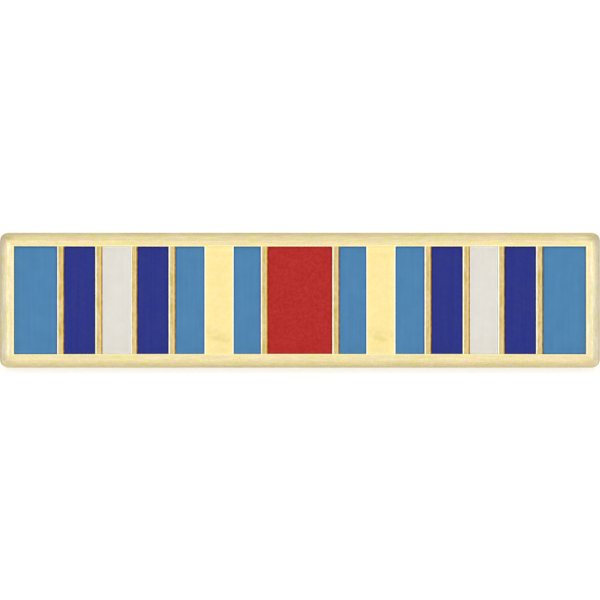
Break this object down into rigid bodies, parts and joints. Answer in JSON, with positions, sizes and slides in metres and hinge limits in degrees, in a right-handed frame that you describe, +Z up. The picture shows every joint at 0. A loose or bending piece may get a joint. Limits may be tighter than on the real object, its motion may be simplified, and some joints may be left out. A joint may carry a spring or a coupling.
{
  "type": "enamelled ribbon bar lapel pin",
  "caption": "Small gold plated ribbon bar lapel pin: a rectangular plate with a rounded rim, upright enamelled stripes, bare metal bands and a plain post on its back.",
  "frame": {"origin": "middle of the base of the pin's box, on the surface it rests on; the pin stands as it comes to rest by itself, on the plate's lower back edge and on the shoulder of the post's point", "axes": "+X along the bar, to the right seen from the front; the enamelled front faces -Y and leans back by 11.9 degrees; +Z up; the post runs towards +Y and down to the surface"},
  "size_m": [0.0176, 0.0092, 0.004],
  "materials": {
    "gold_plate": "satin to polished gold plating",
    "enamel_light_blue": "satin light blue enamel",
    "enamel_dark_blue": "satin dark blue enamel",
    "enamel_white": "satin white enamel",
    "enamel_red": "satin red enamel with a fine grain"
  },
  "bodies": {
    "root": {"plate": "gold_plate", "enamel_light_blue_1": "enamel_light_blue", "enamel_light_blue_2": "enamel_light_blue", "enamel_light_blue_3": "enamel_light_blue", "enamel_light_blue_4": "enamel_light_blue", "enamel_light_blue_5": "enamel_light_blue", "enamel_light_blue_6": "enamel_light_blue", "enamel_dark_blue_1": "enamel_dark_blue", "enamel_dark_blue_2": "enamel_dark_blue", "enamel_dark_blue_3": "enamel_dark_blue", "enamel_dark_blue_4": "enamel_dark_blue", "enamel_white_1": "enamel_white", "enamel_white_2": "enamel_white", "enamel_red": "enamel_red", "post": "gold_plate"}
  },
  "joints": []
}
